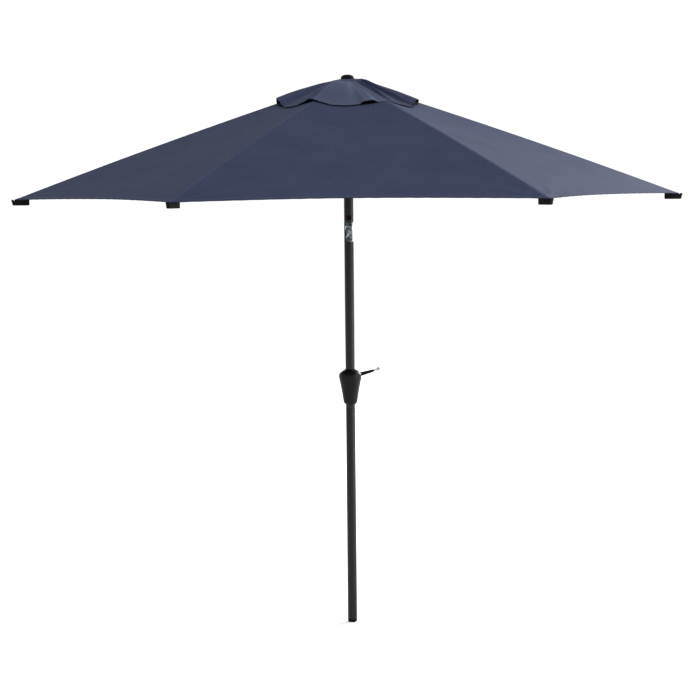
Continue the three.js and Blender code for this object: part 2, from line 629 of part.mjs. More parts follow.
// A cap's sole is level when the umbrella is open, and its lip holds the canopy's corner.
function addRibCap(group, number) {
  const inner = RIB_END_R - 71;
  const crown = CLOTH_LIFT - 2.1; // the canopy falls away on both sides of the rib
  const top = (radius) => onRib(alongRib(radius, crown), crown);
  const sole = onRib(alongRib(CANOPY_END_R))[1] - 10;
  const clothTop = onRib(alongRib(CANOPY_END_R, CLOTH_LIFT + CLOTH), CLOTH_LIFT + CLOTH)[1];
  const outline = outlineOf([
    [inner, sole + 2], [inner + 2, sole], [RIB_END_R - 9, sole], [RIB_END_R - 4, sole + 3],
    [RIB_END_R - 3, sole + 12], [RIB_END_R, clothTop - 5], [RIB_END_R, clothTop],
    [RIB_END_R - 4, clothTop + 1], [RIB_END_R - 10, clothTop - 2],
    [CANOPY_END_R + 1.2, top(CANOPY_END_R + 2)[1]], top(CANOPY_END_R - 4), top(inner + 1),
    [inner, top(inner)[1] - 2],
  ]);
  const seat = alongRib(RIB_END_R) - 16 + GAP;
  const channel = solid(ribTube(RIB_W + 0.7, RIB_H + 0.7, 4.8, 0, 900, seat));
  add(`rib_cap_${number}`, solid(plate(outline, -7.6, 7.6)).subtract(channel), blackNylon, group);
}

// ---- Canopy and vent cap -------------------------------------------------------------------------------

const HALF_PANEL = TURN / RIBS / 2;

// One rib's share of the canopy: half of the panel on each side of it.
function canopySector() {
  const rows = 6;
  const half = 3;
  const from = alongRib(CANOPY_INNER_R, CLOTH_LIFT);
  const to = alongRib(CANOPY_END_R, CLOTH_LIFT);
  return sheet(2 * half, rows, false, (i, j, up) => {
    const v = (i - half) / half; // -1 and 1 at the middles of the panels, 0 at the rib
    const cut = HEM_CUT * (2 * Math.abs(v) - v * v);
    const s = from + ((to - cut - from) * j) / rows;
    const [radius, z] = onRib(s, CLOTH_LIFT);
    const apothem = radius * Math.cos(HALF_PANEL);
    // Each side runs straight from the rib to the panel's middle, less a hair of room for its neighbour.
    const middle = Math.abs(v) * (1 - (0.6 * GAP) / (radius * Math.sin(HALF_PANEL)));
    const x = radius + (apothem * Math.cos(HALF_PANEL) - radius) * middle;
    const y = apothem * Math.sin(HALF_PANEL) * middle * Math.sign(v);
    return [x, y, z + (up ? CLOTH / Math.cos(RIB_SLOPE) : 0)];
  });
}

function ventCap() {
  const columns = 24;
  const rows = 5;
  const hole = 7;
  return sheet(columns, rows, true, (i, j, up) => {
    const a = (i * TURN) / columns;
    const between = (1 - Math.cos(RIBS * a)) / 2; // 0 over a rib, 1 at the middle of a panel
    const edge = VENT_R - 8 * between;
    const r = hole + ((edge - hole) * j) / rows;
    const f = Math.max(r, VENT_CLAMP_R) / edge;
    const drop = (VENT_DROP + VENT_SAG * between) * f - VENT_BULGE * between * 4 * f * (1 - f);
    return [r * Math.cos(a), r * Math.sin(a), VENT_APEX_Z - drop - (up ? 0 : CLOTH)];
  });
}

// ---- Assembly ------------------------------------------------------------------------------------------

addPoles();
addSnapButton();
addHousing();
addCrank();
addTiltJoint();
addHub();
add("hub_wire", wireRing(HUB_Z), zincSteel);
addRunner(RUNNER_Z);

for (let k = 0; k < RIBS; k++) {
  const arm = new THREE.Group();
  arm.rotation.z = (k * TURN) / RIBS;
  umbrella.add(arm);
  addRib(arm, k + 1);
  addStrut(arm, k + 1);
  addRibCap(arm, k + 1);
  add(`canopy_${k + 1}`, canopySector(), canopyCloth, arm);
}

add("vent_cap", ventCap(), canopyCloth);

export default umbrella;
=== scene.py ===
"""A six-rib patio umbrella with a crank and a push-button tilt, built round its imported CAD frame.

Sizes are in millimetres and scene units are metres. +Z is up, the pole's foot is the origin, and rib 1
points along +X.
"""

import math

import bmesh
import bpy
import numpy as np
from mathutils import Matrix, Vector


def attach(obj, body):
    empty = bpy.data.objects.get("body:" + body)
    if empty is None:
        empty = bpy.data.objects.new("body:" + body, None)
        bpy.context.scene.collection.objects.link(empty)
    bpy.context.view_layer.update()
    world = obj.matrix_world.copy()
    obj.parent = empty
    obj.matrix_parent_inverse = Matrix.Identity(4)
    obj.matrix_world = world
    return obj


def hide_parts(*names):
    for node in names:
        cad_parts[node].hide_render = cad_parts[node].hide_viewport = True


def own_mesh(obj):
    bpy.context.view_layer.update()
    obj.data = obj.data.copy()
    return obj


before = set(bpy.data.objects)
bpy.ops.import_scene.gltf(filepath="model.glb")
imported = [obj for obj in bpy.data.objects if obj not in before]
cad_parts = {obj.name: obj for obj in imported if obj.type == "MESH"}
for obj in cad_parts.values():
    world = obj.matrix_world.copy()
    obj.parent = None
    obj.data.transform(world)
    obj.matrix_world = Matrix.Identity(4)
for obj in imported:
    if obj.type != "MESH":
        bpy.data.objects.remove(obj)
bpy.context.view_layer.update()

# ---- Viewpoint -------------------------------------------------------------------------------
# A long lens stands nine metres off, at about head height, and looks a little down. It sees the canopy
# nearly edge on, from just above the rim, with the umbrella turned two degrees about its pole.

MM = 0.001
VIEW_DISTANCE = 9060
VIEW_HEIGHT = 1830
VIEW_TURN = math.radians(-2.0)
VIEW_PITCH = math.radians(85.445)
VIEW_ROLL = math.radians(-0.55)
FOCAL_LENGTH = 116

scene = bpy.context.scene
camera = bpy.data.objects.new("viewpoint", bpy.data.cameras.new("viewpoint"))
camera.data.lens = FOCAL_LENGTH
camera.data.clip_end = 2000
camera.matrix_world = (
    Matrix.Rotation(VIEW_TURN, 4, "Z")
    @ Matrix.Translation(Vector((0, -VIEW_DISTANCE, VIEW_HEIGHT)) * MM)
    @ Matrix.Rotation(VIEW_PITCH, 4, "X")
    @ Matrix.Rotation(VIEW_ROLL, 4, "Z")
)
scene.collection.objects.link(camera)
scene.camera = camera

# ---- Studio floor and light ------------------------------------------------------------------
# A wide floor of matt white paint under an even white sky. Large soft lights stand to the right and behind
# on the right, and a lower one lights the poles, so right-hand faces are the brightest.


def linear(colour):
    """An sRGB hex colour as linear red, green, blue and alpha."""
    parts = [int(colour[i : i + 2], 16) / 255 for i in (1, 3, 5)]
    return (*[p / 12.92 if p <= 0.04045 else ((p + 0.055) / 1.055) ** 2.4 for p in parts], 1)


def node(tree, kind, inputs=None, **settings):
    """Adds one node. settings are its own fields, and inputs are values or sockets by input name or number."""
    made = tree.nodes.new(kind)
    for name, value in settings.items():
        setattr(made, name, value)
    for key, value in (inputs or {}).items():
        if isinstance(value, bpy.types.NodeSocket):
            tree.links.new(value, made.inputs[key])
        else:
            made.inputs[key].default_value = value
    return made


def material(name):
    """An empty node material, as (material, node tree)."""
    made = bpy.data.materials.new(name)
    made.use_nodes = True
    made.node_tree.nodes.clear()
    return made, made.node_tree


def finished(tree, shader):
    """Ends a material's tree with its shader."""
    node(tree, "ShaderNodeOutputMaterial", {"Surface": shader.outputs[0]})


def place_light(name, place, aim, size, watts):
    """A round soft light at a place, facing what it is aimed at. Places and size are in metres."""
    light = bpy.data.lights.new(name, "AREA")
    light.shape = "DISK"
    light.size = size
    light.energy = watts
    made = bpy.data.objects.new(name, light)
    made.location = place
    made.rotation_euler = (Vector(aim) - Vector(place)).to_track_quat("-Z", "Y").to_euler()
    scene.collection.objects.link(made)


SKY_STRENGTH = 1.08
scene.view_settings.view_transform = "Standard"
sky = bpy.data.worlds.new("white_sky")
sky.use_nodes = True
sky.node_tree.nodes["Background"].inputs["Color"].default_value = (1, 1, 1, 1)
sky.node_tree.nodes["Background"].inputs["Strength"].default_value = SKY_STRENGTH
scene.world = sky
place_light("soft_right", (9.6, -5.6, 6.4), (0, 0, 1.6), 5.0, 640)
place_light("soft_low_right", (4.2, -1.5, 1.0), (0, 0, 1.1), 2.6, 75)
place_light("soft_back_right", (8.0, 8.8, 5.6), (0, 0, 1.9), 4.2, 2050)

# Matt white paint: quite without gloss, so it stays one even white to the horizon, with faint roller marks.
floor_paint, tree = material("matt_white_floor_paint")
mottle = node(tree, "ShaderNodeTexNoise", {"Scale": 1 / 0.3, "Detail": 2.0})
paint = node(tree, "ShaderNodeValToRGB", {"Fac": mottle.outputs["Fac"]})
paint.color_ramp.elements[0].color, paint.color_ramp.elements[1].color = linear("#fcfcfb"), linear("#ffffff")
finished(tree, node(tree, "ShaderNodeBsdfDiffuse", {"Color": paint.outputs["Color"], "Roughness": 0.0}))
FLOOR_HALF = 500
floor = bpy.data.objects.new("studio_floor", bpy.data.meshes.new("studio_floor"))
floor.data.from_pydata(
    [(x * FLOOR_HALF, y * FLOOR_HALF, 0) for x, y in ((-1, -1), (1, -1), (1, 1), (-1, 1))], [], [(0, 1, 2, 3)]
)
floor.data.materials.append(floor_paint)
scene.collection.objects.link(floor)

# ---- Poles -----------------------------------------------------------------------------------
# Three lengths of 38 mm steel tube, swaged to push into each other, powder-coated a dark bronze-grey.
# The middle one is notched at its top for the tilt joint. A moulded nylon plug closes the foot.

POLE_R = 19
POLE_WALL = 1.4
GAP = 0.3
FOOT_TOP = 12
POLE_JOINT = 870
SNAP_Z = 850
SNAP_TURN = math.radians(-30)
SNAP_HOLE_R = 4.6
TILT_GAP = (1543, 1625)
SPINE_X = -14
BUTTON_Z = 1641
BUTTON_HOLE_R = 10.6
POLE_TOP = 2150.5


def eased(outline, radius, steps=3, ring=False):
    """An outline of 2-D points with each corner replaced by a small curve."""
    made = []
    count = len(outline)
    for i, corner in enumerate(outline):
        if not ring and i in (0, count - 1):
            made.append(tuple(corner))
            continue
        p = Vector(corner)
        before, after = Vector(outline[i - 1]) - p, Vector(outline[(i + 1) % count]) - p
        a = p + before * min(radius / before.length, 0.45)
        b = p + after * min(radius / after.length, 0.45)
        for j in range(steps + 1):
            t = j / steps
            made.append(tuple(a * (1 - t) ** 2 + p * 2 * t * (1 - t) + b * t * t))
    return made


def turned(outline, segments=96, ring=False):
    """Points and faces of a body of revolution about Z, from (radius, height) points."""
    count = len(outline)
    turns = [2 * math.pi * i / segments for i in range(segments)]
    points = [(r * math.cos(a), r * math.sin(a), z) for a in turns for r, z in outline]
    faces = []
    for i in range(segments):
        for j in range(count if ring else count - 1):
            here, after = i * count, (i + 1) % segments * count
            faces.append((here + j, after + j, after + (j + 1) % count, here + (j + 1) % count))
    return points, faces


def piece(name, made, finish, body=None, stands_for=(), place=None, sharp=40):
    """A mesh object from (points in mm, faces). It rides body and stands for the CAD nodes it is given."""
    points, faces = made
    mesh = bpy.data.meshes.new(name)
    mesh.from_pydata([Vector(p) * MM for p in points], [], faces)
    if place is not None:
        mesh.transform(place)
    built = bmesh.new()
    built.from_mesh(mesh)
    bmesh.ops.remove_doubles(built, verts=built.verts, dist=1e-7)
    bmesh.ops.recalc_face_normals(built, faces=built.faces)
    built.to_mesh(mesh)
    built.free()
    mesh.shade_smooth()
    mesh.set_sharp_from_angle(angle=math.radians(sharp))
    made = bpy.data.objects.new(name, mesh)
    scene.collection.objects.link(made)
    if finish is not None:
        mesh.materials.append(finish)
    if body:
        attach(made, body)
        if stands_for:
            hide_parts(*stands_for)
    return made


def cut(target, *cutters):
    """Cuts closed pieces out of a piece, and removes them."""
    for cutter in cutters:
        change = target.modifiers.new("cut", "BOOLEAN")
        change.operation = "DIFFERENCE"
        change.solver = "EXACT"
        change.object = cutter
    evaluated = target.evaluated_get(bpy.context.evaluated_depsgraph_get())
    mesh = bpy.data.meshes.new_from_object(evaluated)
    target.modifiers.clear()
    target.data = mesh
    mesh.set_sharp_from_angle(angle=math.radians(40))
    for cutter in cutters:
        bpy.data.objects.remove(cutter)


def turn_to(direction, centre):
    """The place of something made about Z, in mm, turned so that its +Z points along a direction."""
    quaternion = Vector(direction).to_track_quat("Z", "Y")
    return Matrix.Translation(Vector(centre) * MM) @ quaternion.to_matrix().to_4x4()


def block(low, high):
    """Points and faces of a box between two corners, in mm."""
    corners = [(x, y, z) for x in (low[0], high[0]) for y in (low[1], high[1]) for z in (low[2], high[2])]
    return corners, [(0, 1, 3, 2), (4, 6, 7, 5), (0, 4, 5, 1), (2, 3, 7, 6), (0, 2, 6, 4), (1, 5, 7, 3)]


# Powder coat on steel: a satin skin with a soft orange-peel ripple of about 2 mm, slightly duller in
# drifting patches where it has been handled.
powder_coat, tree = material("powder_coated_steel")
where = node(tree, "ShaderNodeTexCoord").outputs["Object"]
peel = node(tree, "ShaderNodeTexNoise", {"Vector": where, "Scale": 1 / 0.002, "Detail": 2.0})
patches = node(
    tree, "ShaderNodeTexNoise", {"Vector": where, "Scale": 1 / 0.09, "Detail": 4.0, "Roughness": 0.6}
)
tone = node(tree, "ShaderNodeValToRGB", {"Fac": patches.outputs["Fac"]})
tone.color_ramp.elements[0].position, tone.color_ramp.elements[0].color = 0.3, linear("#0b090a")
tone.color_ramp.elements[1].position, tone.color_ramp.elements[1].color = 0.75, linear("#110f12")
gloss = node(
    tree,
    "ShaderNodeMapRange",
    {"Value": patches.outputs["Fac"], "From Min": 0.3, "From Max": 0.7, "To Min": 0.34, "To Max": 0.46},
)
peel_bump = node(tree, "ShaderNodeBump", {"Strength": 0.12, "Distance": 0.0003, "Height": peel.outputs[0]})
finished(
    tree,
    node(
        tree,
        "ShaderNodeBsdfPrincipled",
        {
            "Base Color": tone.outputs["Color"],
            "Roughness": gloss.outputs["Result"],
            "Specular IOR Level": 0.2,
            "IOR": 1.52,
            "Normal": peel_bump.outputs[0],
        },
    ),
)

# Glass-filled nylon, moulded black: a dull, slightly mottled skin with a fine spark-eroded grain.
black_nylon, tree = material("moulded_black_nylon")
where = node(tree, "ShaderNodeTexCoord").outputs["Object"]
eroded = node(tree, "ShaderNodeTexNoise", {"Vector": where, "Scale": 1 / 0.0012, "Detail": 3.0})
cloud = node(tree, "ShaderNodeTexNoise", {"Vector": where, "Scale": 1 / 0.03, "Detail": 3.0})
tone = node(tree, "ShaderNodeValToRGB", {"Fac": cloud.outputs["Fac"]})
tone.color_ramp.elements[0].position, tone.color_ramp.elements[0].color = 0.3, linear("#050506")
tone.color_ramp.elements[1].position, tone.color_ramp.elements[1].color = 0.7, linear("#0b0b0d")
grain_bump = node(tree, "ShaderNodeBump", {"Strength": 0.25, "Distance": 0.0002, "Height": eroded.outputs[0]})
finished(
    tree,
    node(
        tree,
        "ShaderNodeBsdfPrincipled",
        {
            "Base Color": tone.outputs["Color"],
            "Roughness": 0.55,
            "Specular IOR Level": 0.05,
            "IOR": 1.53,
            "Normal": grain_bump.outputs[0],
        },
    ),
)


def pole(name, low, high, stands_for, body="pole"):
    """One length of the pole's tube, between two heights."""
    inner = POLE_R - POLE_WALL
    section = eased([(inner, low), (POLE_R, low), (POLE_R, high), (inner, high)], 0.5, ring=True)
    return piece(name, turned(section, 128, ring=True), powder_coat, body, stands_for)


def snap_hole():
    """The cutter for the snap button's hole, through one side of a tube."""
    drill = turned([(0, 0), (SNAP_HOLE_R, 0), (SNAP_HOLE_R, 26), (0, 26)], 40)
    toward = (math.cos(SNAP_TURN), math.sin(SNAP_TURN), 0)
    return piece("snap_hole", drill, None, place=turn_to(toward, (0, 0, SNAP_Z)))


foot_outline = [
    (0, 0), (13, 0), (16.5, 2), (18.4, 6), (POLE_R, FOOT_TOP - 1), (POLE_R, FOOT_TOP), (17.3, FOOT_TOP),
    (17.3, 38), (15.3, 42), (0, 42),
]
piece("foot_plug_moulded", turned(eased(foot_outline, 1.2)), black_nylon, "pole", ["foot_plug"])
lower = pole("lower_tube", FOOT_TOP + GAP, POLE_JOINT, ["lower_pole"])
cut(lower, snap_hole())

sleeve_outline = [(15.9, 800), (17.3, 800), (17.3, 869), (17.6, 874), (17.6, 890), (16.2, 890), (15.9, 872)]
sleeve_section = eased(sleeve_outline, 0.4, ring=True)
sleeve = piece("swaged_sleeve", turned(sleeve_section, ring=True), powder_coat, "pole")
cut(sleeve, snap_hole())
middle = pole("middle_tube", POLE_JOINT + GAP, TILT_GAP[1] - 1, ["middle_pole"])
notch = piece("notch", block((SPINE_X, -22, TILT_GAP[0]), (22, 22, TILT_GAP[1] + 9)), None)
cut(middle, notch)

# The upper tube has a hole for the tilt button, and a slot where the lift cord comes out over the pulley
upper = pole("upper_tube", TILT_GAP[1] + GAP, POLE_TOP, ["upper_pole"], "head")
button_drill = turned([(0, 8), (BUTTON_HOLE_R, 8), (BUTTON_HOLE_R, 24), (0, 24)], 64)
button_hole = piece("button_hole", button_drill, None, place=turn_to((0, -1, 0), (0, 0, BUTTON_Z)))
cord_exit = piece("cord_exit", block((13, -5, 2108), (21, 5, 2130)), None)
cut(upper, button_hole, cord_exit)

# ---- Snap button -----------------------------------------------------------------------------
# A zinc-plated steel button on a leaf spring inside the tube. It pops out through both tubes and locks
# the lower pole to the middle one.

# Zinc plate on steel: a cold grey-green metal, brushed in fine lines, with cloudy spangle.
zinc_steel, tree = material("zinc_plated_steel")
where = node(tree, "ShaderNodeTexCoord").outputs["Object"]
stretched = node(tree, "ShaderNodeMapping", {"Vector": where, "Scale": (1.0, 1.0, 0.06)})
brushed = node(tree, "ShaderNodeTexNoise", {"Vector": stretched.outputs[0], "Scale": 1 / 0.0008, "Detail": 3.0})
spangle = node(tree, "ShaderNodeTexVoronoi", {"Vector": where, "Scale": 1 / 0.006})
tone = node(tree, "ShaderNodeValToRGB", {"Fac": spangle.outputs["Color"]})
tone.color_ramp.elements[0].color = linear("#66706c")
tone.color_ramp.elements[1].color = linear("#8d9792")
shine = node(
    tree,
    "ShaderNodeMapRange",
    {"Value": brushed.outputs["Fac"], "From Min": 0.3, "From Max": 0.7, "To Min": 0.3, "To Max": 0.5},
)
brush_bump = node(tree, "ShaderNodeBump", {"Strength": 0.2, "Distance": 0.0002, "Height": brushed.outputs[0]})
finished(
    tree,
    node(
        tree,
        "ShaderNodeBsdfPrincipled",
        {
            "Base Color": tone.outputs["Color"],
            "Metallic": 1.0,
            "Roughness": shine.outputs["Result"],
            "Normal": brush_bump.outputs[0],
        },
    ),
)


def dressed(made, finish):
    """Gives a CAD mesh one finish, and smooth faces between its sharp edges."""
    made.data.materials.clear()
    made.data.materials.append(finish)
    made.data.shade_smooth()
    made.data.set_sharp_from_angle(angle=math.radians(35))


def carried(name, finish):
    """Shows a CAD node as it is, with a finish of its own."""
    dressed(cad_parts[name], finish)


def spring(name, node_name, body, toward, finish):
    """A copy of a CAD spring that rides the body given. toward, the way the button faces, is not used."""
    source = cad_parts[node_name]
    made = bpy.data.objects.new(name, source.data.copy())
    made.matrix_world = source.matrix_world
    scene.collection.objects.link(made)
    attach(made, body)
    dressed(made, finish)
    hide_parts(node_name)
    toward = Vector(toward).normalized()
    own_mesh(made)


snap_toward = (math.cos(SNAP_TURN), math.sin(SNAP_TURN), 0)
snap_outline = [(0, 12.5), (6, 12.5), (6, 14), (4, 14.2), (4, 20), (3.2, 21.2), (1.6, 21.5), (0, 21.5)]
piece(
    "snap_button_dome",
    turned(eased(snap_outline, 0.5), 48),
    zinc_steel,
    "snap_button",
    ["snap_button"],
    turn_to(snap_toward, (0, 0, SNAP_Z)),
)
spring("snap_leaf_spring", "snap_spring", "pole", snap_toward, zinc_steel)

# ---- Crank housing ---------------------------------------------------------------------------
# A funnel-shaped gear housing moulded in two ABS halves, front and rear, drawn together round the pole
# by two screws in deep bosses. It widens from the pole to a rounded shoulder.

HOUSING_Z = 889
HOUSING_SHAPE = [
    (19.3, 0), (21, 0), (24.5, 3.6), (27.5, 9), (29.2, 17), (33.5, 45), (39.5, 78), (44.6, 103), (45.8, 112),
    (45.4, 120), (42.6, 126), (36, 132.5), (24.5, 139.5), (20.8, 142), (19.3, 142),
]
HOUSING_SEAM = 0.35
CRANK_Z = 993
SCREW_PLACE = (31, 973)
SCREW_HOLE_R = 4.2

# ABS, moulded dark grey: satin, with an even fine texture and a little more shine than the nylon.
housing_abs, tree = material("moulded_dark_abs")
where = node(tree, "ShaderNodeTexCoord").outputs["Object"]
texture = node(tree, "ShaderNodeTexNoise", {"Vector": where, "Scale": 1 / 0.0015, "Detail": 2.0})
flow = node(tree, "ShaderNodeTexNoise", {"Vector": where, "Scale": 1 / 0.05, "Detail": 4.0})
tone = node(tree, "ShaderNodeValToRGB", {"Fac": flow.outputs["Fac"]})
tone.color_ramp.elements[0].position, tone.color_ramp.elements[0].color = 0.3, linear("#08080a")
tone.color_ramp.elements[1].position, tone.color_ramp.elements[1].color = 0.7, linear("#0e0d11")
sheen_map = node(
    tree,
    "ShaderNodeMapRange",
    {"Value": flow.outputs["Fac"], "From Min": 0.3, "From Max": 0.7, "To Min": 0.34, "To Max": 0.44},
)
texture_bump = node(tree, "ShaderNodeBump", {"Strength": 0.2, "Distance": 0.0002, "Height": texture.outputs[0]})
finished(
    tree,
    node(
        tree,
        "ShaderNodeBsdfPrincipled",
        {
            "Base Color": tone.outputs["Color"],
            "Roughness": sheen_map.outputs["Result"],
            "Specular IOR Level": 0.1,
            "IOR": 1.53,
            "Normal": texture_bump.outputs[0],
        },
    ),
)


def flowing(outline, steps=4):
    """A smooth curve through an outline's points (Catmull-Rom), which keeps its two ends."""
    p = [Vector(q) for q in outline]
    p = [p[0], *p, p[-1]]
    made = []
    for i in range(1, len(p) - 2):
        for j in range(steps):
            t = j / steps
            made.append(
                tuple(
                    0.5
                    * (
                        2 * p[i]
                        + (p[i + 1] - p[i - 1]) * t
                        + (2 * p[i - 1] - 5 * p[i] + 4 * p[i + 1] - p[i + 2]) * t * t
                        + (3 * p[i] - p[i - 1] - 3 * p[i + 1] + p[i + 2]) * t**3
                    )
                )
            )
    return [*made, tuple(p[-1])]


curve = [(r, z + HOUSING_Z) for r, z in [HOUSING_SHAPE[0], *flowing(HOUSING_SHAPE[1:-1]), HOUSING_SHAPE[-1]]]
for half, sign in (("front", -1), ("rear", 1)):
    shell = piece(
        f"housing_{half}_half",
        turned(curve, 128, ring=True),
        housing_abs,
        "pole",
        [f"housing_{half}"],
    )
    # Each half is turned whole, and what lies past the seam is cut away
    near, far = sorted((sign * HOUSING_SEAM, -sign * 80))
    cutters = [piece("past_seam", block((-80, near, 850), (80, far, 1060)), None)]
    if half == "rear":
        for side in (-1, 1):
            boss_drill = turned([(0, 17), (SCREW_HOLE_R, 17), (SCREW_HOLE_R, 60), (0, 60)], 40)
            centre = (side * SCREW_PLACE[0], 0, SCREW_PLACE[1])
            cutters.append(piece("boss_drill", boss_drill, None, place=turn_to((0, 1, 0), centre)))
    cut(shell, *cutters)

collar_outline = [(5.5, 36), (10, 36), (10, 46.4), (9.2, 47.5), (6.2, 47.5), (5.5, 46.8)]
piece(
    "shaft_collar",
    turned(eased(collar_outline, 0.6, ring=True), 64, ring=True),
    housing_abs,
    "pole",
    place=turn_to((0, 1, 0), (0, 0, CRANK_Z)),
)
for name in ("left", "right"):
    carried(f"housing_screw_{name}", zinc_steel)

# ---- Crank -----------------------------------------------------------------------------------
# A chrome-plated steel arm on a zinc-plated shaft, in a tapered plastic sleeve, with a chrome knob that
# spins on its own pin. The shaft turns the drum that winds the lift cord.

ARM_LENGTH = 121
ARM_TURN = math.radians(15.4)
ARM_Y = (50, 58)
ARM_HUB_R = 9
ARM_EYE_R = 7.5

# Chrome plate: a bright mirror, dulled a little by fine wiping marks.
chrome_plate, tree = material("chrome_plated_steel")
where = node(tree, "ShaderNodeTexCoord").outputs["Object"]
wiped = node(tree, "ShaderNodeTexNoise", {"Vector": where, "Scale": 1 / 0.004, "Detail": 4.0})
mirror = node(
    tree,
    "ShaderNodeMapRange",
    {"Value": wiped.outputs["Fac"], "From Min": 0.3, "From Max": 0.7, "To Min": 0.08, "To Max": 0.2},
)
finished(
    tree,
    node(
        tree,
        "ShaderNodeBsdfPrincipled",
        {"Base Color": linear("#a9a7a8"), "Metallic": 1.0, "Roughness": mirror.outputs["Result"]},
    ),
)


def plate(outline, low, high, edge, steps=3):
    """Points and faces of a flat (x, z) outline, thick from y = low to y = high, with rounded edges."""
    built = bmesh.new()
    near = [built.verts.new((x, low, z)) for x, z in outline]
    face = built.faces.new(near)
    grown = bmesh.ops.extrude_face_region(built, geom=[face])["geom"]
    for vert in grown:
        if isinstance(vert, bmesh.types.BMVert):
            vert.co.y = high
    rims = [e for e in built.edges if abs(e.verts[0].co.y - e.verts[1].co.y) < 1e-6]
    bmesh.ops.bevel(
        built, geom=rims, offset=edge, segments=steps, profile=0.5, affect="EDGES", clamp_overlap=True
    )
    built.verts.ensure_lookup_table()
    built.verts.index_update()
    made = [tuple(v.co) for v in built.verts], [[v.index for v in f.verts] for f in built.faces]
    built.free()
    return made


def link(x0, r0, x1, r1, steps=20):
    """The outline of a bar with two round ends, from x0 to x1."""
    back = [(x0 + r0 * math.cos(a), r0 * math.sin(a)) for a in np.linspace(math.pi / 2, 1.5 * math.pi, steps)]
    fore = [(x1 + r1 * math.cos(a), r1 * math.sin(a)) for a in np.linspace(-math.pi / 2, math.pi / 2, steps)]
    return back + fore


arm_place = Matrix.Translation((0, 0, CRANK_Z * MM)) @ Matrix.Rotation(-ARM_TURN, 4, "Y")
carried("crank_shaft", zinc_steel)
carried("cord_drum", black_nylon)
eye_turns = np.linspace(-2.4, 2.4, 33)
arm_outline = [
    *link(0, ARM_HUB_R, 60, 4)[:20], (60, -4), (106, -3.6), (111.5, -4.4),
    *[(ARM_LENGTH + ARM_EYE_R * math.cos(a), ARM_EYE_R * math.sin(a)) for a in eye_turns],
    (111.5, 4.4), (106, 3.6), (60, 4),
]
piece(
    "crank_arm_bar",
    plate(arm_outline, *ARM_Y, 0.8),
    chrome_plate,
    "crank",
    ["crank_arm"],
    arm_place,
)
piece(
    "crank_grip_sleeve",
    plate(link(40, 8.4, 98, 4.9), ARM_Y[0] - 2, ARM_Y[1] + 2, 2.4, 4),
    housing_abs,
    "crank",
    ["crank_sleeve"],
    arm_place,
)
pin_outline = [
    (0, 47.2), (4.2, 47.2), (5, 48.2), (5, 49.8), (2.8, 49.8), (2.8, 96), (4, 96), (4, 97.5), (0, 97.5),
]
piece(
    "knob_pin_turned",
    turned(eased(pin_outline, 0.4), 48),
    chrome_plate,
    "crank",
    ["knob_pin"],
    arm_place @ turn_to((0, 1, 0), (ARM_LENGTH, 0, 0)),
)
knob_outline = [
    (3.2, 58.6), (5.4, 58.6), (6.6, 64), (6.9, 77), (6.3, 89), (4.8, 94.5), (3.2, 95.5),
]
piece(
    "crank_knob_turned",
    turned([knob_outline[0], *flowing(knob_outline[1:])], 64, ring=True),
    chrome_plate,
    "knob",
    ["crank_knob"],
    arm_place @ turn_to((0, 1, 0), (ARM_LENGTH, 0, 0)),
)

# ---- Tilt joint ------------------------------------------------------------------------------
# A zinc-plated steel fork below and a tongue above, on a riveted pin. The push button on the front frees
# the tongue, and the canopy leans over.

# The same zinc plate under grease: nearly black smears over cold grey metal, with bright worn specks.
greased_steel, tree = material("greased_zinc_steel")
where = node(tree, "ShaderNodeTexCoord").outputs["Object"]
smears = node(
    tree,
    "ShaderNodeTexNoise",
    {"Vector": where, "Scale": 1 / 0.011, "Detail": 3.0, "Roughness": 0.6, "Distortion": 0.6},
)
tone = node(tree, "ShaderNodeValToRGB", {"Fac": smears.outputs["Fac"]})
tone.color_ramp.elements[0].position, tone.color_ramp.elements[0].color = 0.4, linear("#1b2124")
tone.color_ramp.elements[1].position, tone.color_ramp.elements[1].color = 0.56, linear("#525d60")
worn = tone.color_ramp.elements.new(0.66)
worn.color = linear("#a9b3b5")
wet = node(
    tree,
    "ShaderNodeMapRange",
    {"Value": smears.outputs["Fac"], "From Min": 0.4, "From Max": 0.6, "To Min": 0.22, "To Max": 0.42},
)
finished(
    tree,
    node(
        tree,
        "ShaderNodeBsdfPrincipled",
        {"Base Color": tone.outputs["Color"], "Metallic": 1.0, "Roughness": wet.outputs["Result"]},
    ),
)
for name in ("tilt_fork", "tilt_tongue"):
    carried(name, greased_steel)
spring("tilt_coil_spring", "tilt_spring", "head", (0, -1, 0), zinc_steel)
carried("tilt_pin", zinc_steel)
button_outline = [
    (0, 9), (4, 9), (4, 12), (10, 12), (10, 21.2), (9, 22.2), (7.6, 22.4), (7.2, 21.9), (6.4, 21.9),
    (6, 22.4), (3.4, 22.1), (0, 21.9),
]
piece(
    "tilt_push_button",
    turned(eased(button_outline, 0.35), 64),
    black_nylon,
    "tilt_button",
    ["tilt_button"],
    turn_to((0, -1, 0), (0, 0, BUTTON_Z)),
)

# ---- Hub, pulley and runner ------------------------------------------------------------------
# Two slotted nylon mouldings. The top hub is fixed on the pole's head and holds the ribs. The runner
# slides on the pole and holds the struts. A ring of steel wire in each makes the hinge pins.

for name in ("top_hub", "pulley", "runner"):
    carried(name, black_nylon)
for name in ("hub_wire", "runner_wire", "pulley_axle"):
    carried(name, zinc_steel)

# ---- Ribs, struts and brackets ---------------------------------------------------------------
# Six oval steel ribs, bowed a little by the cloth's pull, each propped by an oval steel strut. A black
# nylon bracket straddles the rib and carries the strut's pin.

RIBS = 6
for k in range(1, RIBS + 1):
    carried(f"rib_{k}", powder_coat)
    carried(f"strut_{k}", powder_coat)
    carried(f"bracket_{k}", black_nylon)

# ---- Rib caps --------------------------------------------------------------------------------
# A black nylon cap is pushed on the end of each rib. It is a long block with a level sole, and its hooked
# lip holds the canopy's corner.

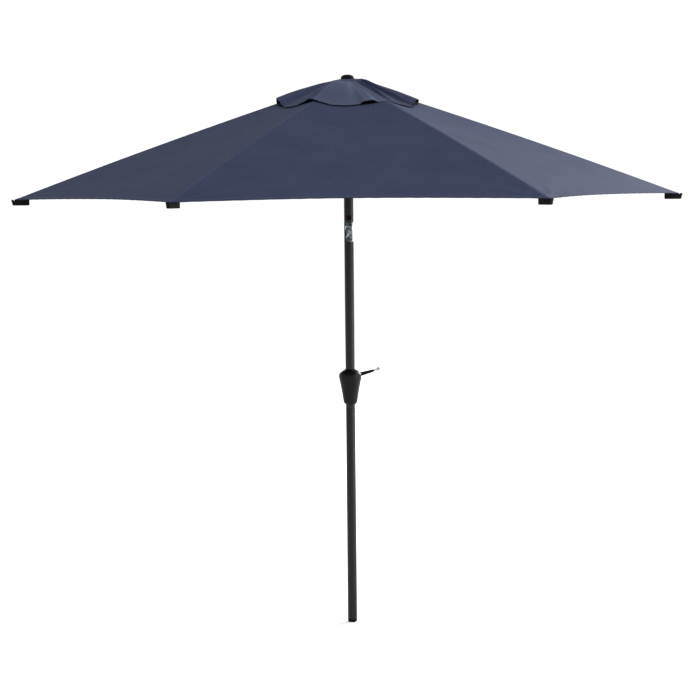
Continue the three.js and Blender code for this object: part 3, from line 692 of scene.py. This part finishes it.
RIB_SLOPE = math.radians(19.3)
RIB_BOW = 9
RIB_END_R = 1345
PIVOT_R = 34
HUB_Z = 2167
RIB_LENGTH = (RIB_END_R - PIVOT_R) / math.cos(RIB_SLOPE)
CLOTH_LIFT = 10.8
CANOPY_END_R = 1333


def on_rib(s, n=0.0):
    """Radius and height of points a distance s along the rib's chord and n above its bent centre line."""
    t = s / RIB_LENGTH
    lift = 4 * RIB_BOW * t * (1 - t) + n
    radius = PIVOT_R + math.cos(RIB_SLOPE) * s + math.sin(RIB_SLOPE) * lift
    return radius, HUB_Z - math.sin(RIB_SLOPE) * s + math.cos(RIB_SLOPE) * lift


def along_rib(radius, n=0.0):
    """How far along the rib a radius is."""
    s = (radius - PIVOT_R) / math.cos(RIB_SLOPE)
    for _ in range(4):
        s = s + (radius - on_rib(s, n)[0]) / math.cos(RIB_SLOPE)
    return s


def cap_outline():
    """The side view of a rib's end cap, as (radius, height) points."""
    inner = RIB_END_R - 71
    crown = CLOTH_LIFT - 2.1
    sole = on_rib(along_rib(CANOPY_END_R))[1] - 10
    cloth = on_rib(along_rib(CANOPY_END_R, CLOTH_LIFT + 1.5), CLOTH_LIFT + 1.5)[1]

    def top(radius):
        return on_rib(along_rib(radius, crown), crown)

    return [
        (inner, sole + 2), (inner + 2, sole), (RIB_END_R - 9, sole), (RIB_END_R - 4, sole + 3),
        (RIB_END_R - 3, sole + 12), (RIB_END_R, cloth - 5), (RIB_END_R, cloth), (RIB_END_R - 4, cloth + 1),
        (RIB_END_R - 10, cloth - 2), (CANOPY_END_R + 1.2, top(CANOPY_END_R + 2)[1]), top(CANOPY_END_R - 4),
        top(inner + 1), (inner, top(inner)[1] - 2),
    ]


rib_turns = [Matrix.Rotation(math.radians(60 * k), 4, "Z") for k in range(RIBS)]
cap_shape = plate(eased(cap_outline(), 2.0, 2, ring=True), -7.6, 7.6, 1.6)
for k, turn in enumerate(rib_turns, 1):
    piece(
        f"rib_end_cap_{k}", cap_shape, black_nylon, f"rib_{k}", [f"rib_cap_{k}"], turn, sharp=50
    )

# ---- Canopy ----------------------------------------------------------------------------------
# Six gores of navy polyester canvas, cut with hollow hems and joined by felled seams that lie over the
# ribs. It is stretched tight by the ribs, so it sags a little between them and puckers at the corners.
# Each gore is made as two halves that meet on its middle line, one on each of its ribs.

CLOTH = 0.9
CLOTH_TOP = CLOTH_LIFT + 1.5
CANOPY_INNER_R = 165
HEM_CUT = 22
GORE_SAG = 7.0
HALF_GORE = math.radians(30)
SEAM_WIDTH = 9.0
SEAM_STITCHES = (2.2, 7.4)
HEM_WIDTH = 19.0
HEM_STITCHES = HEM_WIDTH - 1.5
BEND_WIDTH = 12
UNEVENNESS = 1.6
CREASE_HEIGHT = 1.1
CREASE_REACH = 170
PUCKER_HEIGHT = 0.35
PUCKER_SPACING = 9.0
CLOTH_LEAN = RIB_SLOPE + 0.035


def smooth(low, high, x):
    """0 below low and 1 above high, eased between them."""
    t = np.clip((x - low) / (high - low), 0, 1)
    return t * t * (3 - 2 * t)


def gore_point(gore, s, cross, half):
    """A point of a gore's upper side in the gore's own frame, whose X runs down its middle.

    s is the distance along the rib's chord, and cross, from -1 to 1, goes from one rib to the next.
    half is the gore's half width there, so the seams keep their width all the way down.
    """
    hem_s = along_rib(CANOPY_END_R, CLOTH_LIFT) - HEM_CUT * (1 - cross**2)
    inner_s = along_rib(CANOPY_INNER_R, CLOTH_LIFT)
    t = (s - inner_s) / (hem_s - inner_s)
    from_hem = hem_s - s
    from_rib = (1 - np.abs(cross)) * half
    # Sag, and the bend over the rib's rounded back
    rise = -GORE_SAG * (1 - cross**2) * np.sin(math.pi * np.clip(t, 0, 1)) ** 0.8
    rise = rise - 0.19 / (2 * BEND_WIDTH) * np.clip(BEND_WIDTH - from_rib, 0, None) ** 2
    # Slow unevenness of the tension
    uneven = np.sin(2.1 * gore + 3.3 * cross + 4.0 * t)
    rise = rise + UNEVENNESS * uneven * (1 - cross**2) * t * (1 - 0.5 * t)
    # Creases that spread from each corner
    for side in (-1, 1):
        across = (1 - side * cross) * half
        spread = np.arctan2(across, np.clip(from_hem, 0.5, None))
        reach = np.hypot(across, from_hem)
        crease = np.sin(9 * spread + gore + side) * np.exp(-reach / CREASE_REACH)
        rise = rise + CREASE_HEIGHT * crease * smooth(4, 60, reach) * smooth(0.0, 0.5, spread)
    # Pucker along the felled seam, and the seam itself on one gore's edge
    pucker = np.sin(s / PUCKER_SPACING + 1.7 * gore) * np.exp(-from_rib / 14)
    rise = rise + PUCKER_HEIGHT * pucker * smooth(1, 5, from_rib)
    seam = smooth(0.3, 1.2, from_rib) * (1 - smooth(SEAM_WIDTH - 0.6, SEAM_WIDTH + 0.6, from_rib))
    rise = rise + np.where(cross < 0, 0.8, 0.25) * seam
    for row in SEAM_STITCHES:
        rise = rise - np.where(cross < 0, 0.3, 0.1) * np.exp(-(((from_rib - row) / 0.7) ** 2))
    # The turned hem, drawn in along its stitching
    rise = rise + 0.6 * (1 - smooth(HEM_WIDTH - 1, HEM_WIDTH + 1.5, from_hem))
    rise = rise - 0.35 * np.exp(-(((from_hem - HEM_STITCHES) / 1.2) ** 2))
    rise = rise + 0.4 * np.sin(cross * half / 11.0 + gore) * np.exp(-np.clip(from_hem, 0, None) / 16)
    radius, z = on_rib(s, CLOTH_TOP)
    x = radius * math.cos(HALF_GORE) + math.sin(CLOTH_LEAN) * rise
    y = cross * radius * math.sin(HALF_GORE)
    return np.stack([x, y, z + math.cos(CLOTH_LEAN) * rise], -1)


def unit_up(along, across):
    """The upward unit normal of a surface, from its steps along and across it."""
    normal = np.cross(along, across)
    normal = normal / np.linalg.norm(normal, axis=-1, keepdims=True)
    return normal * np.sign(normal[..., 2:])


def gore_half(k, side):
    """The half gore on one side of rib k, as cloth_piece takes it: grids in mm, and its turn in degrees."""
    gore = k if side > 0 else (k - 2) % RIBS + 1
    hem_rows = np.array([0, 0.9, 2.5, 8, 14, 16.6, 17.5, 18.4, 20, 23, 30])
    inner_s = along_rib(CANOPY_INNER_R, CLOTH_LIFT)
    end_s = along_rib(CANOPY_END_R, CLOTH_LIFT)
    body_rows = np.linspace(30, end_s - inner_s, 86)[1:]
    seam_columns = np.array([0, 0.6, 1.2, 2.2, 3.2, 5, 6.4, 7.4, 8.4, 9.0, 9.8, 12, 16])
    columns = len(seam_columns) + 22
    s_grid, cross_grid, half_grid = [], [], []
    for from_end in np.concatenate([hem_rows, body_rows]):
        s0 = end_s - from_end
        half = float(on_rib(s0, CLOTH_TOP)[0]) * math.sin(HALF_GORE)
        rest = np.linspace(seam_columns[-1], half, 23)[1:]
        across = 1 - np.concatenate([seam_columns, rest]) / half
        # Rows near the hem follow its hollow curve, and rows further in come back to straight lines
        follow = 1 - np.clip(from_end / (end_s - inner_s), 0, 1)
        s_row = s0 - HEM_CUT * (1 - across**2) * follow
        s_grid.append(s_row)
        cross_grid.append(across * -side)
        half_grid.append(np.full(columns, half))
    s, cross, half = np.array(s_grid), np.array(cross_grid), np.array(half_grid)
    top = gore_point(gore, s, cross, half)
    ds = gore_point(gore, s + 0.5, cross, half) - gore_point(gore, s - 0.5, cross, half)
    dc = gore_point(gore, s, cross + 0.5 / half, half) - gore_point(gore, s, cross - 0.5 / half, half)
    normal = unit_up(ds, dc)
    from_hem = end_s - HEM_CUT * (1 - cross**2) - s
    from_rib = (1 - np.abs(cross)) * half
    thick = CLOTH + 1.4 * (1 - smooth(HEM_WIDTH - 0.8, HEM_WIDTH + 0.8, from_hem))
    thick = thick + 1.0 * (1 - smooth(SEAM_WIDTH, SEAM_WIDTH + 1.5, from_rib))
    under = top - normal * thick[..., None]
    turn = 60 * (gore - 1) + 30
    uv = np.stack([s, cross * half], -1) * MM
    marks = np.stack([from_rib, from_hem], -1) * MM
    return top, under, normal, uv, marks, turn


def cloth_piece(name, top, under, normal, uv, marks, turn, finish, around=False):
    """A closed cloth mesh from its upper and lower grids, turned about Z. around joins its two sides.

    uv is the place in the cloth and marks the distances from the rib and the hem, both in metres.
    """
    rows, columns = top.shape[:2]
    count = rows * columns
    spin = np.array(Matrix.Rotation(math.radians(turn), 3, "Z"))
    points = np.concatenate([top.reshape(-1, 3), under.reshape(-1, 3)]) @ spin.T * MM
    normals = np.concatenate([normal.reshape(-1, 3), -normal.reshape(-1, 3)]) @ spin.T
    faces = []
    wide = columns if around else columns - 1
    for i in range(rows - 1):
        for j in range(wide):
            a, b = i * columns + j, i * columns + (j + 1) % columns
            faces.append((a, b, b + columns, a + columns))
            faces.append((count + a + columns, count + b + columns, count + b, count + a))
    last = (rows - 1) * columns
    for j in range(wide):
        a, b = j, (j + 1) % columns
        faces.append((b, a, count + a, count + b))
        faces.append((last + a, last + b, count + last + b, count + last + a))
    for i in range(0 if around else rows - 1):
        a, b = i * columns, i * columns + columns - 1
        faces.append((a, a + columns, count + a + columns, count + a))
        faces.append((b + columns, b, count + b, count + b + columns))
    first = points[list(faces[0])]
    if np.dot(np.cross(first[1] - first[0], first[2] - first[1]), normals[0]) < 0:
        faces = [f[::-1] for f in faces]
    mesh = bpy.data.meshes.new(name)
    mesh.from_pydata(points.tolist(), [], faces)
    uvs = np.concatenate([uv.reshape(-1, 2)] * 2)
    edge = np.concatenate([marks.reshape(-1, 2)] * 2)
    corner = np.array([loop.vertex_index for loop in mesh.loops])
    out = np.stack([np.hypot(points[:, 0], points[:, 1]), points[:, 2]], -1)
    for layer, values in (("cloth", uvs), ("edges", edge), ("round_pole", out)):
        mesh.uv_layers.new(name=layer).data.foreach_set("uv", values[corner].astype(np.float32).ravel())
    mesh.shade_smooth()
    mesh.normals_split_custom_set_from_vertices(normals.tolist())
    mesh.materials.append(finish)
    made = bpy.data.objects.new(name, mesh)
    scene.collection.objects.link(made)
    return made


# Polyester canvas, woven plain and dyed navy: dull, with a pale bloom where it is seen edge on. The real
# threads are 0.5 mm apart, and are drawn 2.5 mm apart so that they show. Rows of stitching run 2.2 mm and
# 7.4 mm from each seam and 17.5 mm from the hem, with 5 mm from stitch to stitch.
THREAD = 0.0025
STITCH = 0.005
STITCH_HALF_WIDTH = 0.0006


def canvas(name, light, dark, painted_shade_radius=-1.0):
    """Canvas between two tones of its dye. Out to a distance from the pole, in metres, it is painted near
    black, as painted shade for the shadow under the vent cap.
    """
    made, tree = material(name)
    cloth = node(tree, "ShaderNodeUVMap", uv_map="cloth").outputs[0]
    uv = node(tree, "ShaderNodeSeparateXYZ", {"Vector": cloth})
    waves = []
    for axis in ("X", "Y"):
        angle = node(
            tree, "ShaderNodeMath", {0: uv.outputs[axis], 1: math.pi / THREAD}, operation="MULTIPLY"
        )
        waves.append(node(tree, "ShaderNodeMath", {0: angle.outputs[0]}, operation="SINE").outputs[0])
    weave = node(tree, "ShaderNodeMath", {0: waves[0], 1: waves[1]}, operation="MULTIPLY").outputs[0]
    slub = node(tree, "ShaderNodeMapping", {"Vector": cloth, "Scale": (1.0, 14.0, 1.0)})
    slubs = node(tree, "ShaderNodeTexNoise", {"Vector": slub.outputs[0], "Scale": 1 / 0.05, "Detail": 4.0})
    clouds = node(
        tree, "ShaderNodeTexNoise", {"Vector": cloth, "Scale": 1 / 0.22, "Detail": 3.0, "Roughness": 0.55}
    )
    mixed = node(
        tree, "ShaderNodeMath", {0: clouds.outputs["Fac"], 1: slubs.outputs["Fac"]}, operation="ADD"
    )
    spread = node(
        tree,
        "ShaderNodeMapRange",
        {"Value": mixed.outputs[0], "From Min": 0.7, "From Max": 1.3, "To Min": 0.0, "To Max": 1.0},
    )
    woven = node(
        tree, "ShaderNodeMath", {0: weave, 1: 0.12, 2: spread.outputs[0]}, operation="MULTIPLY_ADD"
    )
    tone = node(tree, "ShaderNodeValToRGB", {"Fac": woven.outputs[0]})
    tone.color_ramp.elements[0].color = linear(dark)
    tone.color_ramp.elements[1].color = linear(light)
    height = node(tree, "ShaderNodeMath", {0: weave, 1: 0.3}, operation="MULTIPLY").outputs[0]
    marks = node(tree, "ShaderNodeUVMap", uv_map="edges").outputs[0]
    mark = node(tree, "ShaderNodeSeparateXYZ", {"Vector": marks})
    rows = []
    for axis, place in (("X", SEAM_STITCHES[0]), ("X", SEAM_STITCHES[1]), ("Y", HEM_STITCHES)):
        off = node(tree, "ShaderNodeMath", {0: mark.outputs[axis], 1: place * MM}, operation="SUBTRACT")
        away = node(tree, "ShaderNodeMath", {0: off.outputs[0]}, operation="ABSOLUTE")
        line = node(
            tree, "ShaderNodeMath", {0: away.outputs[0], 1: STITCH_HALF_WIDTH}, operation="LESS_THAN"
        )
        beat = node(
            tree, "ShaderNodeMath", {0: uv.outputs[axis], 1: 2 * math.pi / STITCH}, operation="MULTIPLY"
        )
        pulse = node(tree, "ShaderNodeMath", {0: beat.outputs[0]}, operation="SINE")
        dash = node(tree, "ShaderNodeMath", {0: pulse.outputs[0], 1: -0.4}, operation="GREATER_THAN")
        rows.append(
            node(
                tree, "ShaderNodeMath", {0: line.outputs[0], 1: dash.outputs[0]}, operation="MULTIPLY"
            ).outputs[0]
        )
    thread = rows[0]
    for row in rows[1:]:
        thread = node(tree, "ShaderNodeMath", {0: thread, 1: row}, operation="MAXIMUM").outputs[0]
    sewn = node(
        tree,
        "ShaderNodeMix",
        {"Factor": thread, "A": tone.outputs["Color"], "B": linear("#4a5270")},
        data_type="RGBA",
    )
    height = node(tree, "ShaderNodeMath", {0: thread, 1: height}, operation="ADD").outputs[0]
    # Painted shade: inside the given distance from the pole the colour is near black, for the shadow under the
    # vent cap's edge.
    place = node(tree, "ShaderNodeUVMap", uv_map="round_pole").outputs[0]
    out = node(tree, "ShaderNodeSeparateXYZ", {"Vector": place})
    in_painted_shade = node(tree, "ShaderNodeMath", {0: out.outputs["X"], 1: painted_shade_radius}, operation="LESS_THAN")
    painted_shade_mix = node(
        tree,
        "ShaderNodeMix",
        {"Factor": in_painted_shade.outputs[0], "A": sewn.outputs["Result"], "B": linear("#050507")},
        data_type="RGBA",
    )
    bump = node(tree, "ShaderNodeBump", {"Strength": 0.35, "Distance": 0.0004, "Height": height})
    finished(
        tree,
        node(
            tree,
            "ShaderNodeBsdfPrincipled",
            {
                "Base Color": painted_shade_mix.outputs["Result"],
                "Roughness": 0.72,
                "Specular IOR Level": 0.025,
                "Sheen Weight": 0.011,
                "Sheen Roughness": 0.4,
                "Sheen Tint": linear("#c9d0ea"),
                "Normal": bump.outputs[0],
            },
        ),
    )
    return made


# The canopy's cloth is the plain navy canvas. Out to just under the vent cap's edge it is painted near black,
# as painted shade, so that the gaps under the cap look dark.
PAINTED_SHADE_END = 0.283
NAVY = ("#32384e", "#2b3146")
canopy_canvas_with_painted_shade = canvas("navy_polyester_canvas", *NAVY, PAINTED_SHADE_END)

for k, turn in enumerate(rib_turns, 1):
    for side, hand in ((1, "a"), (-1, "b")):
        half_gore = cloth_piece(f"canopy_gore_{k}{hand}", *gore_half(k, side), canopy_canvas_with_painted_shade)
        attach(half_gore, f"rib_{k}")
        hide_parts(f"canopy_{k}")
        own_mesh(half_gore)

# ---- Vent cap --------------------------------------------------------------------------------
# A small second canopy of the same canvas over the top opening, sewn from six short gores that meet under
# a round patch. Its edge is loose: it gapes beside the ribs and droops on the canopy between them.

VENT_R = 285
VENT_INNER_R = 45
VENT_APEX_Z = 2198.5
VENT_DROP = 88.5
VENT_VALLEY = 14.0
VENT_BULGE = 8.0
CLAMP_R = 30
PINCH_HEIGHT = 9.0
PINCH_TURN = 345
# The loose edge, round from rib 1: (degrees, mm above the canopy, mm further out than VENT_R)
EDGE = [
    (0, 6, 0), (14, 1.5, 2), (30, 1, 10), (45, 1, 12), (57, 4, 2), (68, 11, 0), (78, 2, 4), (92, 1, 14),
    (108, 1, 12), (118, 4, 2), (128, 10, 0), (139, 2, 6), (152, 1, 12), (166, 1.5, 4), (175, 8, 0),
    (184, 24, 0), (195, 21, 0), (206, 4, 2), (213, 1, 15), (226, 1, 16), (231, 5, 0), (236, 12, 0),
    (241, 6, 0), (247, 3, 3), (257, 1, 14), (266, 1, 13), (276, 1, 2), (282, 13, 0), (288, 14, 0),
    (294, 2, 0), (300, 1, 4), (308, 1, 16), (318, 1, 28), (325, 2, 24), (333, 10, 4), (342, 19, 0),
    (351, 17, 0), (360, 6, 0),
]
# Soft folds half way down, round from rib 1: (degrees, mm up or down)
FOLDS = [
    (0, -2), (35, 3), (60, 4), (90, -4), (120, 5), (150, -4), (178, 5), (204, -7), (240, 10), (262, 4),
    (290, -8), (298, -10), (307, 0), (320, -11), (334, 6), (347, 3), (360, -2),
]
PATCH_R = 62
PATCH_LIFT = 1.1


def canopy_height(angle, r):
    """Height of the canopy's upper side at a place round the pole, without its fine folds."""
    cross_angle = (angle + math.pi / 6) % (math.pi / 3) - math.pi / 6
    gore_angle = math.pi / 6 - np.abs(cross_angle)
    ridge = r * np.cos(gore_angle) / math.cos(HALF_GORE)
    s = along_rib(ridge, CLOTH_TOP)
    return on_rib(s, CLOTH_TOP)[1]


def round_pole(table, angle):
    """The columns of a table by angle, with its values eased from each row to the next."""
    degrees = np.degrees(angle) % 360
    rows = np.array(table, float)
    i = np.clip(np.searchsorted(rows[:, 0], degrees, side="right") - 1, 0, len(rows) - 2)
    t = (degrees - rows[i, 0]) / (rows[i + 1, 0] - rows[i, 0])
    t = t * t * (3 - 2 * t)
    return [rows[i, column] * (1 - t) + rows[i + 1, column] * t for column in range(1, rows.shape[1])]


def vent_point(angle, f):
    """A point of the vent cap's upper side. f runs from 0 at the pole to 1 at the loose edge."""
    between = (1 - np.cos(6 * angle)) / 2
    gap, further = round_pole(EDGE, angle)
    (fold,) = round_pole(FOLDS, angle)
    reach = VENT_R + further
    r = reach * f
    edge = canopy_height(angle, reach) + CLOTH + gap
    # Under the finial it lies flat. Round that it is a cone with soft ridges, and further out it takes up
    # the edge's waves.
    past_clamp = np.maximum(f, CLAMP_R / VENT_R)
    cone = VENT_APEX_Z - VENT_DROP * past_clamp - VENT_VALLEY * between * smooth(0.15, 1.0, f)
    waves = edge - (VENT_APEX_Z - VENT_DROP - VENT_VALLEY * between)
    z = cone + waves * smooth(0.3, 1.0, f) ** 1.5
    z = z + (VENT_BULGE - 3.0 * between) * 4 * f * (1 - f)
    z = z + fold * smooth(0.1, 0.45, f) * (1 - 0.8 * smooth(0.6, 1.0, f))
    # A pinch of cloth stands up beside the finial
    away = (np.degrees(angle) % 360 - PINCH_TURN) / 20
    z = z + PINCH_HEIGHT * np.exp(-(away**2)) * np.exp(-(((f - 0.25) / 0.11) ** 2))
    # It never sinks into the canopy that it lies on
    rests = canopy_height(angle, np.clip(r, CANOPY_INNER_R, None)) + CLOTH + 0.6
    z = np.where(r > CANOPY_INNER_R, np.maximum(z, rests), z)
    return np.stack([r * np.cos(angle), r * np.sin(angle), z], -1)


def vent_normal(angle, f, turn_step):
    """The vent cap's upward normals, from small steps outwards and round."""
    outwards = vent_point(angle, f + 0.002) - vent_point(angle, f - 0.002)
    onwards = vent_point(angle + turn_step, f) - vent_point(angle - turn_step, f)
    return unit_up(outwards, onwards)


def vent_half(k, side):
    """The half of a vent gore on one side of rib k, as cloth_piece takes it."""
    rim_rows = [1, 0.997, 0.985, 0.965, 0.945, 0.94, 0.93]
    f = np.concatenate([rim_rows, np.linspace(0.91, VENT_INNER_R / VENT_R, 34)])
    across = np.concatenate([[0, 0.012, 0.03, 0.05, 0.07], np.linspace(0.1, 1, 31)])
    rib_angle = math.radians(60 * (k - 1))
    angle = rib_angle + side * across[None, :] * HALF_GORE + 0 * f[:, None]
    f = f[:, None] + 0 * angle
    top = vent_point(angle, f)
    normal = vent_normal(angle, f, 0.002)
    r = np.hypot(top[..., 0], top[..., 1])
    from_rib = np.abs(across)[None, :] * HALF_GORE * r
    from_hem = (1 - f) * VENT_R
    thick = CLOTH + 1.2 * (1 - smooth(15, 17, from_hem))
    under = top - normal * thick[..., None]
    uv = np.stack([r, side * from_rib], -1) * MM
    marks = np.stack([from_rib, from_hem], -1) * MM
    return top, under, normal, uv, marks, 0


# The vent cap's cloth has no painted shade under it. Its front gore is painted paler, as painted light, and the
# gore on its right is painted darker, as painted shade.
navy_canvas = canvas("navy_vent_canvas", *NAVY)
painted_light_canvas = canvas("navy_canvas_painted_light", "#41475b", "#3a4053")
painted_shade_canvas = canvas("navy_canvas_painted_shade", "#20243a", "#1a1e31")
# Painted light on the front gore's two halves, and painted shade on the two halves of the gore to its right.
vent_cloth = {"5a": painted_light_canvas, "6b": painted_light_canvas, "6a": painted_shade_canvas, "1b": painted_shade_canvas}
for k, turn in enumerate(rib_turns, 1):
    for side, hand in ((1, "a"), (-1, "b")):
        half_vent = cloth_piece(
            f"vent_gore_{k}{hand}", *vent_half(k, side), vent_cloth.get(f"{k}{hand}", navy_canvas)
        )
        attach(half_vent, f"rib_{k}")
        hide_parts("vent_cap")
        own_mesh(half_vent)

# The round patch that covers the gores' points, with a small hole for the finial's screw
patch_rows = np.array([PATCH_R, 61, 58, 56, 50, 40, 30, 20, 12, 7.0])
patch_turns = np.linspace(0, 2 * math.pi, 97)[:-1]
angle = patch_turns[None, :] + 0 * patch_rows[:, None]
f = (patch_rows[:, None] + 0 * angle) / VENT_R
top = vent_point(angle, f)
top[..., 2] += PATCH_LIFT
normal = vent_normal(angle, f, 0.01)
patch_uv = top[..., :2] * MM
patch_marks = np.zeros_like(patch_uv)
patch = cloth_piece(
    "vent_crown_patch", top, top - normal * CLOTH, normal, patch_uv, patch_marks, 0, navy_canvas, True
)
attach(patch, "head")

# ---- Finial ----------------------------------------------------------------------------------
# A flat black nylon knob screwed into the top hub. It clamps the vent cap's patch.

FINIAL_R = 27
finial_outline = [
    (0, 2187.3), (4, 2187.3), (4, 2192), (21, 2192), (25.8, 2193.6), (FINIAL_R, 2197), (26.2, 2201),
    (22.5, 2205.6), (16, 2209), (8, 2210.7), (0, 2211),
]
piece(
    "finial_knob",
    turned([*finial_outline[:3], *flowing(finial_outline[3:], 5)], 96),
    black_nylon,
    "head",
    ["finial"],
)
